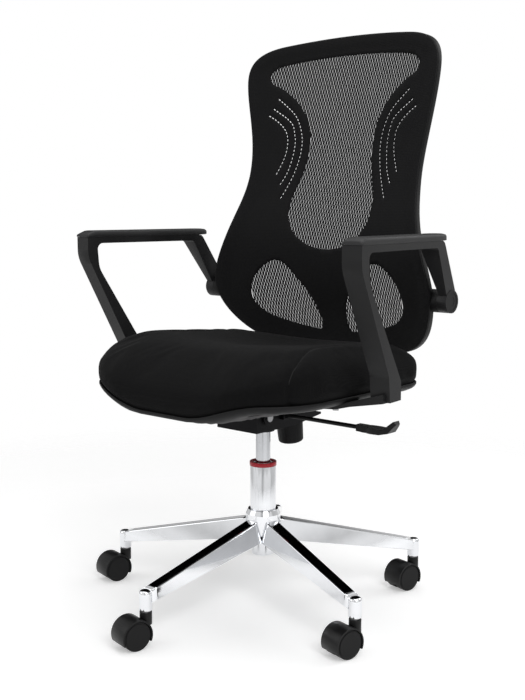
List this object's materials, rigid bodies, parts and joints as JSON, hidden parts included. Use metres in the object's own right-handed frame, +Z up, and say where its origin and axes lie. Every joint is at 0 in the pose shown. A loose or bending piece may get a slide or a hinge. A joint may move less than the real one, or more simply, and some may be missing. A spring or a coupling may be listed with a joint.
{
  "type": "swivel office chair",
  "caption": "Height-adjustable swivel chair with a curved mesh back, padded seat, fixed loop arms, tilt mechanism and a polished star base on twin-wheel casters.",
  "frame": {"origin": "on the floor, on the axis of the gas column", "axes": "+Z up along the column, the seat faces -Y, +X is the sitter's left"},
  "size_m": [0.698, 0.6469, 1.1],
  "materials": {
    "chrome_base": "mirror polished",
    "chrome_column": "mirror polished",
    "steel": "plain zinc plated",
    "black_steel": "black powder coat",
    "bush_plastic": "matte",
    "red_plastic": "gloss",
    "knob_plastic": "matte",
    "lever_plastic": "satin",
    "shell_plastic": "fine texture",
    "arm_plastic": "fine texture",
    "pad_plastic": "soft matte",
    "frame_plastic": "satin",
    "caster_plastic": "satin nylon",
    "wheel_plastic": "satin nylon",
    "plywood": "unfinished",
    "seat_fabric": "fine knit",
    "mesh_fabric": "woven mesh"
  },
  "bodies": {
    "base": {"star_base": "chrome_base", "stem_sleeves": "steel", "caster_stems": "steel", "column_tube": "chrome_column", "guide_bush": "bush_plastic", "red_ring": "red_plastic", "thrust_bearing": "steel"},
    "column_rod": {"gas_rod": "steel", "rod_clip": "steel", "bearing_washer": "steel"},
    "mechanism": {"gas_cylinder": "chrome_column", "mechanism_housing": "black_steel", "tilt_axle": "steel", "tilt_spring": "steel"},
    "valve": {"valve_pin": "steel"},
    "knob": {"tension_knob": "knob_plastic", "tension_bolt": "steel"},
    "spring_plate": {"spring_seat": "steel"},
    "lever_slider": {"lock_slider": "bush_plastic", "lever_pin": "steel"},
    "lever": {"lever_rod": "black_steel", "lever_paddle": "lever_plastic"},
    "seat": {"tilt_plate": "black_steel", "seat_bolts": "steel", "seat_shell": "shell_plastic", "seat_board": "plywood", "seat_cushion": "seat_fabric", "left_arm": "arm_plastic", "right_arm": "arm_plastic", "left_arm_pad": "pad_plastic", "right_arm_pad": "pad_plastic", "arm_bolts": "steel", "pivot_pins": "steel", "pivot_caps": "arm_plastic"},
    "back": {"back_frame": "frame_plastic", "back_mesh": "mesh_fabric", "left_pivot_cup": "arm_plastic", "right_pivot_cup": "arm_plastic", "left_torsion_spring": "steel", "right_torsion_spring": "steel"},
    "caster_1": {"caster_1_hood": "caster_plastic", "caster_1_axle": "steel"},
    "caster_1_wheel_left": {"caster_1_wheel_left": "wheel_plastic"},
    "caster_1_wheel_right": {"caster_1_wheel_right": "wheel_plastic"},
    "caster_2": {"caster_2_hood": "caster_plastic", "caster_2_axle": "steel"},
    "caster_2_wheel_left": {"caster_2_wheel_left": "wheel_plastic"},
    "caster_2_wheel_right": {"caster_2_wheel_right": "wheel_plastic"},
    "caster_3": {"caster_3_hood": "caster_plastic", "caster_3_axle": "steel"},
    "caster_3_wheel_left": {"caster_3_wheel_left": "wheel_plastic"},
    "caster_3_wheel_right": {"caster_3_wheel_right": "wheel_plastic"},
    "caster_4": {"caster_4_hood": "caster_plastic", "caster_4_axle": "steel"},
    "caster_4_wheel_left": {"caster_4_wheel_left": "wheel_plastic"},
    "caster_4_wheel_right": {"caster_4_wheel_right": "wheel_plastic"},
    "caster_5": {"caster_5_hood": "caster_plastic", "caster_5_axle": "steel"},
    "caster_5_wheel_left": {"caster_5_wheel_left": "wheel_plastic"},
    "caster_5_wheel_right": {"caster_5_wheel_right": "wheel_plastic"}
  },
  "joints": [
    {"name": "seat_swivel", "type": "hinge", "parent": "base", "child": "column_rod", "pos_m": [0, 0, 0.1], "axis": [0, 0, 1], "continuous": true},
    {"name": "seat_lift", "type": "slide", "parent": "column_rod", "child": "mechanism", "axis": [0, 0, 1], "range_m": [-0.05, 0.045]},
    {"name": "valve_press", "type": "slide", "parent": "mechanism", "child": "valve", "axis": [0, 0, -1], "range_m": [0, 0.005], "stiffness_N_per_m": 300},
    {"name": "tension_turn", "type": "hinge", "parent": "mechanism", "child": "knob", "pos_m": [0, 0.077, 0.35048], "axis": [0, -0.1392, 0.9903], "range_deg": [0, 900]},
    {"name": "spring_preload", "type": "slide", "parent": "mechanism", "child": "spring_plate", "axis": [0, -0.1392, 0.9903], "range_m": [0, 0.0039]},
    {"name": "tilt_lock", "type": "slide", "parent": "mechanism", "child": "lever_slider", "axis": [1, 0, 0], "range_m": [0, 0.01]},
    {"name": "height_lever", "type": "hinge", "parent": "lever_slider", "child": "lever", "pos_m": [0.047, 0, 0.371], "axis": [0, -1, 0], "range_deg": [0, 5], "stiffness_Nm_per_rad": 4, "springref_deg": -5.73},
    {"name": "seat_tilt", "type": "hinge", "parent": "mechanism", "child": "seat", "pos_m": [0, -0.045, 0.372], "axis": [-1, 0, 0], "range_deg": [0, 9], "stiffness_Nm_per_rad": 250, "springref_deg": -8.59, "deforming": ["tilt_spring"]},
    {"name": "back_recline", "type": "hinge", "parent": "seat", "child": "back", "pos_m": [0, 0.17812, 0.588], "axis": [-1, 0, 0], "range_deg": [-3, 4], "stiffness_Nm_per_rad": 60},
    {"name": "caster_1_swivel", "type": "hinge", "parent": "base", "child": "caster_1", "pos_m": [0, -0.31, 0.06], "axis": [0, 0, 1], "continuous": true},
    {"name": "caster_1_left_roll", "type": "hinge", "parent": "caster_1", "child": "caster_1_wheel_left", "pos_m": [-0.00606, -0.33734, 0.026], "axis": [0.9763, -0.2164, 0], "continuous": true},
    {"name": "caster_1_right_roll", "type": "hinge", "parent": "caster_1", "child": "caster_1_wheel_right", "pos_m": [-0.00606, -0.33734, 0.026], "axis": [0.9763, -0.2164, 0], "continuous": true},
    {"name": "caster_2_swivel", "type": "hinge", "parent": "base", "child": "caster_2", "pos_m": [0.29483, -0.0958, 0.06], "axis": [0, 0, 1], "continuous": true},
    {"name": "caster_2_left_roll", "type": "hinge", "parent": "caster_2", "child": "caster_2_wheel_left", "pos_m": [0.28877, -0.12313, 0.026], "axis": [0.9763, -0.2164, 0], "continuous": true},
    {"name": "caster_2_right_roll", "type": "hinge", "parent": "caster_2", "child": "caster_2_wheel_right", "pos_m": [0.28877, -0.12313, 0.026], "axis": [0.9763, -0.2164, 0], "continuous": true},
    {"name": "caster_3_swivel", "type": "hinge", "parent": "base", "child": "caster_3", "pos_m": [0.18221, 0.25079, 0.06], "axis": [0, 0, 1], "continuous": true},
    {"name": "caster_3_left_roll", "type": "hinge", "parent": "caster_3", "child": "caster_3_wheel_left", "pos_m": [0.17615, 0.22346, 0.026], "axis": [0.9763, -0.2164, 0], "continuous": true},
    {"name": "caster_3_right_roll", "type": "hinge", "parent": "caster_3", "child": "caster_3_wheel_right", "pos_m": [0.17615, 0.22346, 0.026], "axis": [0.9763, -0.2164, 0], "continuous": true},
    {"name": "caster_4_swivel", "type": "hinge", "parent": "base", "child": "caster_4", "pos_m": [-0.18221, 0.25079, 0.06], "axis": [0, 0, 1], "continuous": true},
    {"name": "caster_4_left_roll", "type": "hinge", "parent": "caster_4", "child": "caster_4_wheel_left", "pos_m": [-0.18827, 0.22346, 0.026], "axis": [0.9763, -0.2164, 0], "continuous": true},
    {"name": "caster_4_right_roll", "type": "hinge", "parent": "caster_4", "child": "caster_4_wheel_right", "pos_m": [-0.18827, 0.22346, 0.026], "axis": [0.9763, -0.2164, 0], "continuous": true},
    {"name": "caster_5_swivel", "type": "hinge", "parent": "base", "child": "caster_5", "pos_m": [-0.29483, -0.0958, 0.06], "axis": [0, 0, 1], "continuous": true},
    {"name": "caster_5_left_roll", "type": "hinge", "parent": "caster_5", "child": "caster_5_wheel_left", "pos_m": [-0.30089, -0.12313, 0.026], "axis": [0.9763, -0.2164, 0], "continuous": true},
    {"name": "caster_5_right_roll", "type": "hinge", "parent": "caster_5", "child": "caster_5_wheel_right", "pos_m": [-0.30089, -0.12313, 0.026], "axis": [0.9763, -0.2164, 0], "continuous": true}
  ],
  "couplings": [
    {"joint": "valve_press", "follows": "height_lever", "m_per_rad": 0.056},
    {"joint": "spring_preload", "follows": "tension_turn", "m_per_rad": 0.00023873}
  ]
}
